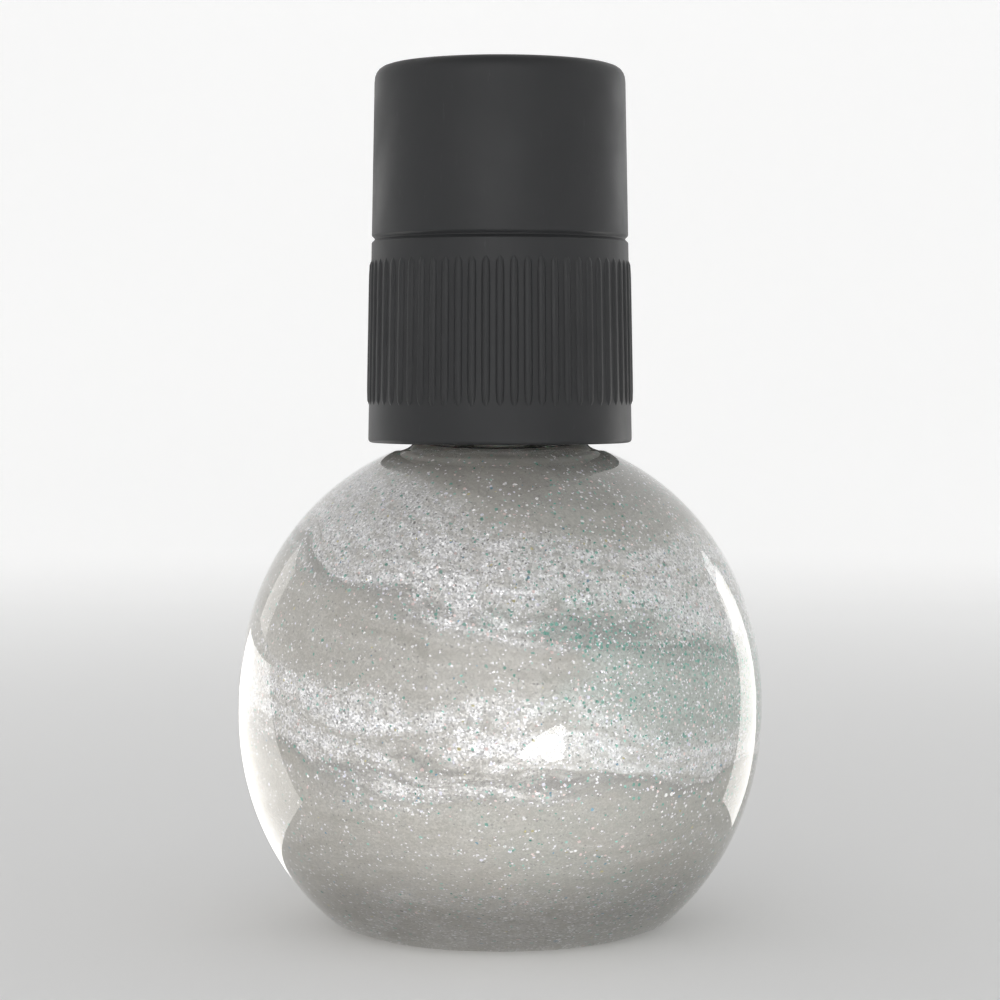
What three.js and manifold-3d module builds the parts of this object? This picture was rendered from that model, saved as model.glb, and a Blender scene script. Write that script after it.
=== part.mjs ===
// Glass nail polish bottle, closed, with its brush, closure, polish and mixing balls.
// Millimetres, +Z up. The origin is the centre of the foot, on the surface that the bottle stands on.
import * as THREE from "three";
import { mergeVertices } from "three/addons/utils/BufferGeometryUtils.js";
import Module from "manifold-3d";

const wasm = await Module();
wasm.setup();

// Driving dimensions: glass body
const BODY_RADIUS = 17.9;
const BODY_HALF_HEIGHT = 18.7;
const BODY_ROUNDNESS = 2.1; // 2 is an ellipse, more is squarer
const FOOT_RADIUS = 11; // where the body's curve would meet the table
const FOOT_FLAT_OUTER = 10.2;
const FOOT_FLAT_INNER = 8.2;
const HEEL_TOP_Z = 0.7;
const RECESS_RADIUS = 7.8;
const RECESS_DEPTH = 0.8;
const WALL = 2.2;
const GLASS_FLOOR_Z = 3.9;
const CAVITY_FLOOR_ROUNDNESS = 2.5;
const SHOULDER_WALL = 1.7;

// Driving dimensions: neck finish, 13 mm nominal, 12 threads per inch
const NECK_RADIUS = 5.7;
const NECK_HEIGHT = 11.5;
const NECK_FILLET_RADIUS = 7.2; // where the shoulder turns up into the neck
const BORE_RADIUS = 3.5;
const LIP_ROUND = 0.7;
const THREAD_PITCH = 2.117;
const NECK_THREAD_BEAD = 0.6;
const NECK_THREAD_CENTRE = 5.85;
const NECK_THREAD_TURNS = 1.5;
const NECK_THREAD_TOP = 2.4; // below the lip

// Driving dimensions: closure
const GAP = 0.3;
const CAP_THREAD_BEAD = 0.48;
const CAP_THREAD_CENTRE = 6.56;
const CAP_THREAD_TURNS = 1.25;
const INNER_CAP_BORE = 6.75;
const INNER_CAP_RADIUS = 7.6;
const INNER_CAP_LIFT = 1.1; // skirt's lower edge above the neck root
const PLATE = 1.2;
const SOCKET_RADIUS = 3.3;
const LINER_THICKNESS = 0.9;
const LINER_HOLE = 2.5;
const OVERCAP_FOOT_RADIUS = 9;
const OVERCAP_TOP_RADIUS = 8.5;
const OVERCAP_WALL = 1;
const OVERCAP_DRAFT = 0.05; // how much narrower it is inside at the top
const OVERCAP_BOTTOM_Z = 33.0;
const OVERCAP_TOP_Z = 58.5;
const OVERCAP_EDGE_ROUND = 1.1;

// Driving dimensions: brush
const STEM_RADIUS = 2;
const STEM_END_RADIUS = 1.75;
const FLANGE_RADIUS = 6.1;
const FLANGE = 1.2;
const STEM_POST_RADIUS = 1.8;
const STEM_POST_HEIGHT = 5.5;
const FERRULE_Z = 21.5;
const FERRULE_BORE = 1.45;
const FERRULE_DEPTH = 4.8;
const TUFT_TIP_Z = 6.6;
const TUFT_BELLY_RADIUS = 2.1;
const ANCHOR = { width: 1.5, thickness: 0.35, height: 1.6 };

// Driving dimensions: what is inside and under the body
const FILL_TOP_Z = 29.4;
const FILL_WELL_RADIUS = 3.3;
const BALL_RADIUS = 2;
const BALL_RING_RADIUS = 6.8;
const LABEL_RADIUS = 7.2;
const LABEL_THICKNESS = 0.25;

// Heights worked out from the above
const BODY_CENTRE_Z = BODY_HALF_HEIGHT * (1 - (FOOT_RADIUS / BODY_RADIUS) ** BODY_ROUNDNESS) ** (1 / BODY_ROUNDNESS);
const NECK_ROOT_Z = BODY_CENTRE_Z
  + BODY_HALF_HEIGHT * (1 - (NECK_FILLET_RADIUS / BODY_RADIUS) ** BODY_ROUNDNESS) ** (1 / BODY_ROUNDNESS);
const LIP_Z = NECK_ROOT_Z + NECK_HEIGHT;
const CAVITY_RADIUS = BODY_RADIUS - WALL;
const LINER_Z = LIP_Z + GAP;
const FLANGE_Z = LINER_Z + LINER_THICKNESS + GAP;
const CEILING_Z = FLANGE_Z + FLANGE + GAP;

const at = (r, z) => new THREE.Vector2(r, z);

// Angle on a barrel outline, from the height or the radius it has there, as a share of the semi-axis.
const angleAtHeight = (share, roundness) => Math.asin(share ** (roundness / 2));
const angleAtRadius = (share, roundness) => Math.acos(share ** (roundness / 2));

// Points of a barrel outline between two angles; 0 is its widest place and PI / 2 its top.
function barrel(radius, halfHeight, roundness, from, to, count) {
  return Array.from({ length: count + 1 }, (_, i) => {
    const angle = from + ((to - from) * i) / count;
    const r = radius * Math.abs(Math.cos(angle)) ** (2 / roundness);
    const rise = halfHeight * Math.abs(Math.sin(angle)) ** (2 / roundness);
    return at(r < 1e-3 ? 0 : r, BODY_CENTRE_Z + Math.sign(angle) * rise);
  });
}

// Points of a curve from one place to another, bending towards a corner, without the first and last.
function bend(start, corner, end, count) {
  return new THREE.QuadraticBezierCurve(start, corner, end).getPoints(count).slice(1, -1);
}

// Outline of the space inside the glass, drawn in by an amount, from the axis up to a given radius.
function cavity(inset, topRadius, count) {
  const lower = barrel(CAVITY_RADIUS - inset, BODY_CENTRE_Z - GLASS_FLOOR_Z - inset,
    CAVITY_FLOOR_ROUNDNESS, -Math.PI / 2, 0, count);
  const roof = BODY_HALF_HEIGHT - SHOULDER_WALL - inset;
  const end = angleAtRadius(topRadius / (CAVITY_RADIUS - inset), BODY_ROUNDNESS);
  return [...lower, ...barrel(CAVITY_RADIUS - inset, roof, BODY_ROUNDNESS, 0, end, count).slice(1)];
}

// Height of the glass floor inside the body.
function floorZ(r) {
  const drop = BODY_CENTRE_Z - GLASS_FLOOR_Z;
  const share = (1 - (r / CAVITY_RADIUS) ** CAVITY_FLOOR_ROUNDNESS) ** (1 / CAVITY_FLOOR_ROUNDNESS);
  return BODY_CENTRE_Z - drop * share;
}

// A solid turned about the Z axis from its outline, listed up the outside.
function turned(outline, segments) {
  return new THREE.LatheGeometry(outline, segments).rotateX(Math.PI / 2);
}

function toSolid(geometry) {
  const bare = geometry.clone();
  bare.deleteAttribute("normal");
  bare.deleteAttribute("uv");
  const merged = mergeVertices(bare, 1e-4);
  const corners = merged.index.array;
  const kept = [];
  for (let i = 0; i < corners.length; i += 3) {
    const [a, b, c] = corners.slice(i, i + 3);
    if (a !== b && b !== c && c !== a) kept.push(a, b, c);
  }
  const vertProperties = new Float32Array(merged.attributes.position.array);
  return new wasm.Manifold(new wasm.Mesh({ numProp: 3, vertProperties, triVerts: new Uint32Array(kept) }));
}

function toGeometry(solid) {
  const mesh = solid.getMesh();
  const geometry = new THREE.BufferGeometry();
  geometry.setAttribute("position", new THREE.BufferAttribute(mesh.vertProperties, 3));
  geometry.setIndex(new THREE.BufferAttribute(mesh.triVerts, 1));
  geometry.computeVertexNormals();
  return geometry;
}

// The centre line of a right-handed thread bead, which runs out into its wall at both ends.
class ThreadLine extends THREE.Curve {
  constructor(radius, sinkRadius, startZ, startAngle, turns) {
    super();
    Object.assign(this, { radius, sinkRadius, startZ, startAngle, turns });
  }

  getPoint(t, target = new THREE.Vector3()) {
    const runOut = 0.12;
    const depth = Math.min(1, Math.min(t, 1 - t) / runOut);
    const r = this.sinkRadius + (this.radius - this.sinkRadius) * Math.sin((depth * Math.PI) / 2);
    const angle = this.startAngle + t * this.turns * 2 * Math.PI;
    return target.set(r * Math.cos(angle), r * Math.sin(angle), this.startZ + t * this.turns * THREAD_PITCH);
  }
}

function threadBead(line, beadRadius, stepsPerTurn) {
  const section = new THREE.Shape().absarc(0, 0, beadRadius, 0, 2 * Math.PI);
  const steps = Math.round(line.turns * stepsPerTurn);
  return new THREE.ExtrudeGeometry(section, { extrudePath: line, steps, curveSegments: 4, bevelEnabled: false });
}

const NECK_THREAD_START_Z = LIP_Z - NECK_THREAD_TOP - NECK_THREAD_TURNS * THREAD_PITCH;

function glassBottle() {
  const heel = -angleAtHeight((BODY_CENTRE_Z - HEEL_TOP_Z) / BODY_HALF_HEIGHT, BODY_ROUNDNESS);
  const shoulder = angleAtRadius(NECK_FILLET_RADIUS / BODY_RADIUS, BODY_ROUNDNESS);
  const side = barrel(BODY_RADIUS, BODY_HALF_HEIGHT, BODY_ROUNDNESS, heel, shoulder, 22);
  const inside = cavity(0, BORE_RADIUS, 9).reverse();
  const neckFoot = at(NECK_RADIUS, NECK_ROOT_Z + 1.3);
  const lipOut = at(NECK_RADIUS, LIP_Z - LIP_ROUND);
  const lipTop = at(NECK_RADIUS - LIP_ROUND, LIP_Z);
  const outline = [
    at(0, RECESS_DEPTH), at(RECESS_RADIUS, RECESS_DEPTH),
    at(FOOT_FLAT_INNER, 0), at(FOOT_FLAT_OUTER, 0),
    ...bend(at(FOOT_FLAT_OUTER, 0), at(FOOT_RADIUS, 0), side[0], 3),
    ...side,
    ...bend(side.at(-1), at(NECK_RADIUS, NECK_ROOT_Z + 0.2), neckFoot, 4),
    neckFoot, lipOut,
    ...bend(lipOut, at(NECK_RADIUS, LIP_Z), lipTop, 3),
    lipTop, at(BORE_RADIUS + 0.4, LIP_Z), at(BORE_RADIUS, LIP_Z - 0.4),
    ...inside,
  ];
  const sink = NECK_RADIUS - NECK_THREAD_BEAD - 0.05;
  const line = new ThreadLine(NECK_THREAD_CENTRE, sink, NECK_THREAD_START_Z, 0, NECK_THREAD_TURNS);
  return toGeometry(toSolid(turned(outline, 40)).add(toSolid(threadBead(line, NECK_THREAD_BEAD, 22))));
}

function innerCap() {
  const skirtZ = NECK_ROOT_Z + INNER_CAP_LIFT;
  const topZ = CEILING_Z + PLATE;
  const socketTopZ = OVERCAP_TOP_Z - OVERCAP_WALL - 3;
  const hole = STEM_POST_RADIUS + GAP;
  const outline = [
    at(INNER_CAP_BORE, skirtZ), at(INNER_CAP_RADIUS, skirtZ),
    at(INNER_CAP_RADIUS, topZ - 0.4), at(INNER_CAP_RADIUS - 0.4, topZ),
    at(SOCKET_RADIUS, topZ), at(SOCKET_RADIUS, socketTopZ),
    at(hole, socketTopZ), at(hole, CEILING_Z), at(INNER_CAP_BORE, CEILING_Z),
    at(INNER_CAP_BORE, skirtZ),
  ];
  // the cap's bead lies half a pitch below the neck's, and starts a quarter turn after it
  const lag = 0.25;
  const startZ = NECK_THREAD_START_Z + (lag - 0.5) * THREAD_PITCH;
  const sink = INNER_CAP_BORE + CAP_THREAD_BEAD + 0.05;
  const line = new ThreadLine(CAP_THREAD_CENTRE, sink, startZ, lag * 2 * Math.PI, CAP_THREAD_TURNS);
  return toGeometry(toSolid(turned(outline, 36)).add(toSolid(threadBead(line, CAP_THREAD_BEAD, 22))));
}

function overcap() {
  const ceiling = OVERCAP_TOP_Z - OVERCAP_WALL;
  const insideFoot = OVERCAP_FOOT_RADIUS - OVERCAP_WALL;
  const insideTop = insideFoot - OVERCAP_DRAFT;
  const sideTop = at(OVERCAP_TOP_RADIUS, OVERCAP_TOP_Z - OVERCAP_EDGE_ROUND);
  const edgeTop = at(OVERCAP_TOP_RADIUS - OVERCAP_EDGE_ROUND, OVERCAP_TOP_Z);
  return turned([
    at(0, ceiling), at(insideTop, ceiling), at(insideFoot, OVERCAP_BOTTOM_Z),
    at(OVERCAP_FOOT_RADIUS - 0.25, OVERCAP_BOTTOM_Z), at(OVERCAP_FOOT_RADIUS, OVERCAP_BOTTOM_Z + 0.25),
    sideTop, ...bend(sideTop, at(OVERCAP_TOP_RADIUS, OVERCAP_TOP_Z), edgeTop, 4), edgeTop,
    at(0, OVERCAP_TOP_Z),
  ], 48);
}

function sealingLiner() {
  const outer = FLANGE_RADIUS - GAP;
  const top = LINER_Z + LINER_THICKNESS;
  return turned([
    at(LINER_HOLE, LINER_Z), at(outer, LINER_Z), at(outer, top), at(LINER_HOLE, top), at(LINER_HOLE, LINER_Z),
  ], 32);
}

function brushStem() {
  const flangeTop = FLANGE_Z + FLANGE;
  const postTop = flangeTop + STEM_POST_HEIGHT;
  return turned([
    at(0, FERRULE_Z + FERRULE_DEPTH), at(FERRULE_BORE, FERRULE_Z + FERRULE_DEPTH), at(FERRULE_BORE, FERRULE_Z),
    at(STEM_END_RADIUS - 0.15, FERRULE_Z), at(STEM_END_RADIUS, FERRULE_Z + 0.4),
    at(STEM_END_RADIUS, FERRULE_Z + FERRULE_DEPTH), at(STEM_RADIUS, FERRULE_Z + FERRULE_DEPTH + 2),
    at(STEM_RADIUS, FLANGE_Z), at(FLANGE_RADIUS, FLANGE_Z), at(FLANGE_RADIUS, flangeTop),
    at(STEM_POST_RADIUS, flangeTop), at(STEM_POST_RADIUS, postTop - 0.4), at(STEM_POST_RADIUS - 0.4, postTop),
    at(0, postTop),
  ], 20);
}

const ANCHOR_Z = FERRULE_Z + FERRULE_DEPTH - GAP - ANCHOR.height / 2;

function bristleTuft() {
  const rootRadius = FERRULE_BORE - GAP;
  const belly = (FERRULE_Z - TUFT_TIP_Z) / 2 + TUFT_TIP_Z;
  const spread = bend(at(TUFT_BELLY_RADIUS * 0.72, TUFT_TIP_Z + 1.2), at(TUFT_BELLY_RADIUS * 1.18, belly),
    at(rootRadius, FERRULE_Z), 8);
  const tuft = toSolid(turned([
    at(0, TUFT_TIP_Z), at(TUFT_BELLY_RADIUS * 0.42, TUFT_TIP_Z + 0.25), at(TUFT_BELLY_RADIUS * 0.72, TUFT_TIP_Z + 1.2),
    ...spread,
    at(rootRadius, FERRULE_Z), at(rootRadius, FERRULE_Z + FERRULE_DEPTH - GAP),
    at(0, FERRULE_Z + FERRULE_DEPTH - GAP),
  ], 16));
  const slot = new THREE.BoxGeometry(3 * rootRadius, ANCHOR.thickness + GAP, 2 * (ANCHOR.height + GAP));
  slot.translate(0, 0, FERRULE_Z + FERRULE_DEPTH - GAP);
  return toGeometry(tuft.subtract(toSolid(slot)));
}

function polishFill() {
  const wall = cavity(GAP, FILL_WELL_RADIUS, 12).filter((p) => p.x > BALL_RING_RADIUS + BALL_RADIUS + 2 * GAP
    && p.y < FILL_TOP_Z);
  const channelIn = BALL_RING_RADIUS - BALL_RADIUS - GAP;
  const channelOut = BALL_RING_RADIUS + BALL_RADIUS + GAP;
  const channelTop = ballZ() + BALL_RADIUS + GAP;
  const roof = (FILL_TOP_Z - BODY_CENTRE_Z) / (BODY_HALF_HEIGHT - SHOULDER_WALL - GAP);
  const topRadius = (CAVITY_RADIUS - GAP) * (1 - roof ** BODY_ROUNDNESS) ** (1 / BODY_ROUNDNESS);
  return turned([
    at(FILL_WELL_RADIUS, floorZ(FILL_WELL_RADIUS) + GAP), at(channelIn, floorZ(channelIn) + GAP),
    at(channelIn, channelTop), at(channelOut, channelTop), at(channelOut, floorZ(channelOut) + 1.5 * GAP),
    ...wall,
    at(topRadius, FILL_TOP_Z), at(FILL_WELL_RADIUS, FILL_TOP_Z),
    at(FILL_WELL_RADIUS, floorZ(FILL_WELL_RADIUS) + GAP),
  ], 32);
}

// Height of a ball's centre where it lies on the dished glass floor.
function ballZ() {
  const reach = 0.5;
  const slope = (floorZ(BALL_RING_RADIUS + reach) - floorZ(BALL_RING_RADIUS - reach)) / (2 * reach);
  return floorZ(BALL_RING_RADIUS) + (BALL_RADIUS + GAP) * Math.hypot(1, slope);
}

function mixingBall(side) {
  return new THREE.SphereGeometry(BALL_RADIUS, 16, 10).translate(side * BALL_RING_RADIUS, 0, ballZ());
}

function baseLabel() {
  const bottom = RECESS_DEPTH - GAP - LABEL_THICKNESS;
  return new THREE.CylinderGeometry(LABEL_RADIUS, LABEL_RADIUS, LABEL_THICKNESS, 32)
    .rotateX(Math.PI / 2).translate(0, 0, bottom + LABEL_THICKNESS / 2);
}

const finish = (color, roughness, metalness = 0, more = {}) =>
  new THREE.MeshStandardMaterial({ color, roughness, metalness, ...more });

const clearGlass = finish(0xe8eeee, 0.05, 0, { transparent: true, opacity: 0.35 });
const silverPolish = finish(0xb4b1ac, 0.3, 0.4);
const matteBlack = finish(0x17181a, 0.55);
const whitePlastic = finish(0xe9e8e4, 0.45);
const foam = finish(0xf2f1ee, 0.8);
const steel = finish(0xb9bbbd, 0.25, 1);
const nylon = finish(0x1c1b1d, 0.5);
const paper = finish(0xf1efe9, 0.85);

const bottle = new THREE.Group();
const pieces = [
  ["glass_bottle", glassBottle(), clearGlass],
  ["polish_fill", polishFill(), silverPolish],
  ["mixing_ball_1", mixingBall(1), steel],
  ["mixing_ball_2", mixingBall(-1), steel],
  ["base_label", baseLabel(), paper],
  ["sealing_liner", sealingLiner(), foam],
  ["inner_cap", innerCap(), whitePlastic],
  ["overcap", overcap(), matteBlack],
  ["brush_stem", brushStem(), whitePlastic],
  ["bristle_anchor", new THREE.BoxGeometry(ANCHOR.width, ANCHOR.thickness, ANCHOR.height)
    .translate(0, 0, ANCHOR_Z), steel],
  ["bristle_tuft", bristleTuft(), nylon],
];
for (const [name, geometry, material] of pieces) {
  const mesh = new THREE.Mesh(geometry, material);
  mesh.name = name;
  bottle.add(mesh);
}

export default bottle;
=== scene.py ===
"""Nail polish bottle: fine surfaces, finishes and stage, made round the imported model."""

import math
from math import cos, pi, sin, sqrt, tau

import bpy
from bpy.props import FloatProperty, FloatVectorProperty, IntProperty, PointerProperty
from bpy.types import Operator, Panel, PropertyGroup
from mathutils import Matrix, Vector


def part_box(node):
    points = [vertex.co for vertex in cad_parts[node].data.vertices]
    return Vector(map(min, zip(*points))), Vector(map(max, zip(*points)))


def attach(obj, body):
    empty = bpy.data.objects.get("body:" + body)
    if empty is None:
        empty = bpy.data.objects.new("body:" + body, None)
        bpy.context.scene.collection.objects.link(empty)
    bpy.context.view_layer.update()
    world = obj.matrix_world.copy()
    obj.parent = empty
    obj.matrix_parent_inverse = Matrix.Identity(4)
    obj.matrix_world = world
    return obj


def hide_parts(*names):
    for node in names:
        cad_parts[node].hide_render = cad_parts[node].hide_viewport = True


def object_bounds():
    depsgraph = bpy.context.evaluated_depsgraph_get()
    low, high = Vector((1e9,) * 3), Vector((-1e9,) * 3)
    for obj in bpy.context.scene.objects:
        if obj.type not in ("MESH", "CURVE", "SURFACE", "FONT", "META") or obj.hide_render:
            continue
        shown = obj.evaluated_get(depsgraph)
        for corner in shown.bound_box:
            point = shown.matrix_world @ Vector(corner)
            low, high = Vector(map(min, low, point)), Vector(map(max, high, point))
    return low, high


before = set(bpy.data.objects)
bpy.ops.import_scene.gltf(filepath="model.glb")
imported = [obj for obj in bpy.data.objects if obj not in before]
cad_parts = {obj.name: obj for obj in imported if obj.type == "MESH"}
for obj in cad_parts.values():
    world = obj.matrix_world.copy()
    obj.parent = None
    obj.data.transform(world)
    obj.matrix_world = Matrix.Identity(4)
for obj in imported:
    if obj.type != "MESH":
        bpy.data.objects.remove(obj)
CAD_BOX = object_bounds()

bl_info = {
    "name": "Nail polish bottle",
    "version": (1, 0, 0),
    "blender": (4, 5, 0),
    "location": "View3D > Sidebar > Bottle",
    "description": "Makes a glass nail polish bottle with its brush closure, piece by piece",
    "category": "Object",
}

MM = 0.001
THREAD_STEP = 0.11 * MM  # longest stretch of an outline that carries a thread
ON_WALL = 0.02 * MM  # a point this near a wall is on it
GRIP_FOOT = 2.2 * MM  # plain band under the grip ribs

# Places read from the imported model
LIP_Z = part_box("glass_bottle")[1][2]
CAP_LOW, CAP_HIGH = (Vector(c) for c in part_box("overcap"))
LINER_LOW, LINER_HIGH = (Vector(c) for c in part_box("sealing_liner"))
INNER_LOW, INNER_HIGH = (Vector(c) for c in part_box("inner_cap"))
STEM_LOW, STEM_HIGH = (Vector(c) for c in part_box("brush_stem"))
TUFT_LOW, TUFT_HIGH = (Vector(c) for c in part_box("bristle_tuft"))
FILL_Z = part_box("polish_fill")[1][2]
LABEL_LOW, LABEL_HIGH = (Vector(c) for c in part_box("base_label"))


def length(name, description, default):
    """A size in metres."""
    return FloatProperty(name=name, description=description, default=default,
                         min=0, precision=5, unit="LENGTH")


def colour(name, description, default):
    """A colour in linear light."""
    return FloatVectorProperty(name=name, description=description, default=default,
                               size=3, min=0, max=1, subtype="COLOR")


class GlassSizes(PropertyGroup):
    """Sizes of the glass and of the polish in it."""
    body_radius: length("Body radius", "Outside radius of the round body", 17.9 * MM)
    half_height: length("Body half height", "From the widest place to the top of its curve", 18.7 * MM)
    roundness: FloatProperty(name="Roundness", description="2 is an ellipse, more is squarer",
                             default=2.1, min=1.5, max=6)
    foot_radius: length("Foot radius", "Where the body's curve would meet the table", 11 * MM)
    wall: length("Wall", "Thickness of the glass at the widest place", 2.2 * MM)
    shoulder_wall: length("Shoulder wall", "Thickness of the glass at the shoulder", 1.7 * MM)
    floor_z: length("Glass floor", "Height of the floor inside", 3.9 * MM)
    floor_roundness: FloatProperty(name="Floor roundness", description="2 is an ellipse, more is squarer",
                                   default=2.5, min=1.5, max=6)
    recess: length("Base recess", "Depth of the hollow under the base", 0.8 * MM)
    neck_radius: length("Neck radius", "Outside radius of the neck without its thread", 5.7 * MM)
    neck_fillet: length("Neck fillet", "Radius where the shoulder turns up into the neck", 7.2 * MM)
    bore_radius: length("Bore radius", "Inside radius of the neck", 3.5 * MM)
    wetting: length("Wetting", "How far the polish surface lies in the glass skin", 0.04 * MM)
    film: length("Film", "Thickness of the polish that clings above the level", 0.15 * MM)
    flakes: IntProperty(name="Flakes", description="About how many loose flakes lie at the glass",
                        default=6500, min=0)
    flake_radius: length("Flake radius", "Radius of a middling flake", 0.056 * MM)


class ClosureSizes(PropertyGroup):
    """Sizes of the thread, the inner cap, the overcap and its grip."""
    pitch: length("Thread pitch", "Rise of the thread in one turn", 2.117 * MM)
    neck_turns: FloatProperty(name="Neck turns", description="Turns of thread on the neck", default=1.5)
    neck_ridge: length("Neck ridge", "How far the neck's thread stands out", 0.75 * MM)
    cap_turns: FloatProperty(name="Cap turns", description="Turns of thread in the cap", default=1.25)
    cap_ridge: length("Cap ridge", "How far the cap's thread stands in", 0.66 * MM)
    thread_top: length("Thread top", "From the lip down to the end of the neck's thread", 2.4 * MM)
    inner_bore: length("Inner cap bore", "Inside radius of the inner cap", 6.75 * MM)
    wall: length("Overcap wall", "Thickness of the overcap", 1.0 * MM)
    top_radius: length("Overcap top radius", "Outside radius of the overcap at its top", 8.5 * MM)
    grip_ribs: IntProperty(name="Grip ribs", description="Ribs round the overcap", default=60, min=3)
    grip_height: length("Grip height", "Height of the ribbed band", 10.5 * MM)
    rib_radius: length("Rib radius", "Radius of one rib", 0.33 * MM)
    splines: IntProperty(name="Splines", description="Driving splines round the inner cap", default=30, min=3)


class BrushSizes(PropertyGroup):
    """Sizes of the bristles and the stem's bore that holds them."""
    filaments: IntProperty(name="Filaments", description="Bristles in the tuft", default=340, min=3)
    filament_radius: length("Filament radius", "Radius of one bristle", 0.055 * MM)
    root_radius: length("Root radius", "Radius of the bundle in the stem", 1.12 * MM)
    belly_radius: length("Belly radius", "Radius of the tuft where it is widest", 1.85 * MM)
    bore_radius: length("Stem bore", "Radius of the bore that holds the bristles", 1.45 * MM)
    bore_depth: length("Stem bore depth", "Depth of the bore that holds the bristles", 4.8 * MM)
    post_radius: length("Post radius", "Radius of the post that plugs into the inner cap", 1.8 * MM)
    post_height: length("Post height", "Height of the post above the flange", 5.5 * MM)
    flange: length("Flange", "Thickness of the flange", 1.2 * MM)
    stem_radius: length("Stem radius", "Radius of the stem under the flange", 2.0 * MM)
    stem_end: length("Stem end radius", "Radius of the stem round the bristles", 1.75 * MM)


class Finishes(PropertyGroup):
    """Colours of each finish."""
    silver: colour("Silver", "Sparkling bands of the polish", (0.72, 0.715, 0.73))
    silk: colour("Silk", "Silky streaks of the polish", (0.495, 0.477, 0.438))
    greige: colour("Greige", "Smooth tongues of the polish", (0.41, 0.39, 0.352))
    # this colour also paints shade over the top of the polish, besides the dark lines, pits and dark flecks
    shade: colour("Shade", "Dark lines between the bands", (0.24, 0.235, 0.23))
    teal: colour("Teal flecks", "Blue-green flakes", (0.10, 0.38, 0.30))
    blue: colour("Blue flecks", "Blue flakes", (0.13, 0.32, 0.46))
    gold: colour("Gold flecks", "Yellow-green flakes", (0.62, 0.56, 0.25))
    pink: colour("Pink flecks", "Pinkish flakes", (0.85, 0.68, 0.66))
    overcap: colour("Overcap", "Soft-touch plastic of the overcap", (0.012, 0.0125, 0.0135))
    plastic: colour("Closure plastic", "Moulded plastic of the inner cap and stem", (0.80, 0.795, 0.77))
    bristle: colour("Bristles", "Nylon of the bristles", (0.018, 0.017, 0.018))
    steel: colour("Steel", "Polished steel of the balls", (0.62, 0.63, 0.64))
    paper: colour("Label paper", "Blank label under the base", (0.86, 0.84, 0.79))
    foam: colour("Liner foam", "Soft washer under the closure", (0.86, 0.85, 0.82))
    floor: colour("Floor", "Floor and sweep of the stage", (0.80, 0.80, 0.80))


# ---------------------------------------------------------------- node trees

class Graph:
    """Adds nodes to a tree and joins them. An input may be a number, a colour or another node's output."""

    def __init__(self, tree):
        self.tree = tree

    def add(self, kind, inputs=None, **settings):
        node = self.tree.nodes.new(kind)
        node.location = (190 * (len(self.tree.nodes) % 14), -260 * (len(self.tree.nodes) // 14))
        for key, value in settings.items():
            setattr(node, key, value)
        for key, value in (inputs or {}).items():
            if isinstance(value, bpy.types.NodeSocket):
                self.tree.links.new(value, node.inputs[key])
            else:
                node.inputs[key].default_value = value
        return node

    def maths(self, operation, a, b=0.0, c=0.0, clamp=False):
        node = self.add("ShaderNodeMath", {0: a, 1: b, 2: c}, operation=operation, use_clamp=clamp)
        return node.outputs[0]

    def vector(self, operation, a, b=(0, 0, 0), scale=None):
        inputs = {0: a} if scale is not None else {0: a, 1: b}
        if scale is not None:
            inputs["Scale"] = scale
        node = self.add("ShaderNodeVectorMath", inputs, operation=operation)
        return node.outputs["Value" if operation in ("DOT_PRODUCT", "LENGTH") else "Vector"]

    def noise(self, place, scale, detail=2.0, roughness=0.5, part=0):
        node = self.add("ShaderNodeTexNoise", {"Vector": place, "Scale": scale, "Detail": detail,
                                               "Roughness": roughness})
        return node.outputs[part]

    def cells(self, place, scale, part="Color", **settings):
        return self.add("ShaderNodeTexVoronoi", {"Vector": place, "Scale": scale}, **settings).outputs[part]

    def remap(self, value, low, high, to_low=0.0, to_high=1.0, smooth=False):
        node = self.add("ShaderNodeMapRange", {0: value, 1: low, 2: high, 3: to_low, 4: to_high},
                        interpolation_type="SMOOTHSTEP" if smooth else "LINEAR")
        return node.outputs[0]

    def ramp(self, value, stops):
        """A curve through (place, strength) stops, where place runs from 0 to the last stop's."""
        span = stops[-1][0]
        node = self.add("ShaderNodeValToRGB", {0: self.maths("DIVIDE", value, span)})
        fill_ramp(node.color_ramp, "EASE", [(place / span, (strength,) * 3) for place, strength in stops])
        return node.outputs[0]

    def mix(self, share, a, b, mode="MIX"):
        a, b = ((*c, 1) if isinstance(c, (tuple, list)) and len(c) == 3 else c for c in (a, b))
        node = self.add("ShaderNodeMix", {0: share, 6: a, 7: b}, data_type="RGBA", blend_type=mode)
        return node.outputs[2]

    def between(self, share, low, high):
        """A plain number from low to high by share."""
        return self.add("ShaderNodeMix", {0: share, 2: low, 3: high}).outputs[0]

    def split(self, value):
        return self.add("ShaderNodeSeparateXYZ", {0: value}).outputs

    def bump(self, height, strength, distance):
        return self.add("ShaderNodeBump", {
            "Height": height, "Strength": strength, "Distance": distance}).outputs[0]


def fill_ramp(ramp, interpolation, stops):
    """Sets a colour ramp's stops, each a position and a colour."""
    ramp.interpolation = interpolation
    points = ramp.elements
    while len(points) < len(stops):
        points.new(0.5)
    for point, (position, _) in zip(points, stops):
        point.position = position
    for point, (_, tone) in zip(points, stops):
        point.color = (*tone, 1)


def plain(values):
    """A colour property as a plain tuple."""
    return tuple(values)


def new_material(name):
    """An empty material, its graph, and its object coordinates in millimetres."""
    material = bpy.data.materials.new(name)
    material.use_nodes = True
    material.node_tree.nodes.clear()
    graph = Graph(material.node_tree)
    place = graph.vector("SCALE", graph.add("ShaderNodeTexCoord").outputs["Object"], scale=1 / MM)
    return material, graph, place


def close_material(graph, shader):
    graph.add("ShaderNodeOutputMaterial", {"Surface": shader})


def principled(graph, **inputs):
    """A Principled shader with its sockets set by name, with _ for a space."""
    named = {key.replace("_", " "): value for key, value in inputs.items()}
    return graph.add("ShaderNodeBsdfPrincipled", named).outputs[0]


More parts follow.
